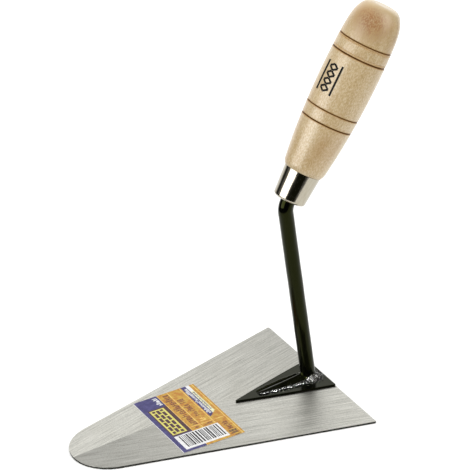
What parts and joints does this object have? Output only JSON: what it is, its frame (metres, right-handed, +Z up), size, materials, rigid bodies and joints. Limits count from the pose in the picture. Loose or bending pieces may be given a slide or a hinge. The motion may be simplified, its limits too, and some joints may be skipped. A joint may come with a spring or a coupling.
{
  "type": "masonry trowel",
  "caption": "Flat steel trowel blade with a round nose, a welded cranked bar neck, a metal ferrule and a turned wooden handle.",
  "frame": {"origin": "on the blade's underside, in the plane of symmetry, where the axis of the neck meets it, 9.5 mm ahead of the heel", "axes": "+X to the blade's nose, +Y to the left of a user who looks at the nose, +Z up, square to the blade"},
  "size_m": [0.2514, 0.1444, 0.2542],
  "materials": {
    "blade_steel": "ground in two passes, each along its own side of the blade",
    "black_enamel": "gloss black enamel",
    "ferrule_metal": "bright nickel plate",
    "handle_wood": "lacquered beech with burnt grooves",
    "printed_film": "printed film label"
  },
  "bodies": {
    "root": {"blade": "blade_steel", "foot_plate": "black_enamel", "neck_rod": "black_enamel", "left_leg_weld": "black_enamel", "right_leg_weld": "black_enamel", "heel_weld": "black_enamel", "ferrule": "ferrule_metal", "handle": "handle_wood", "label": "printed_film"}
  },
  "joints": []
}
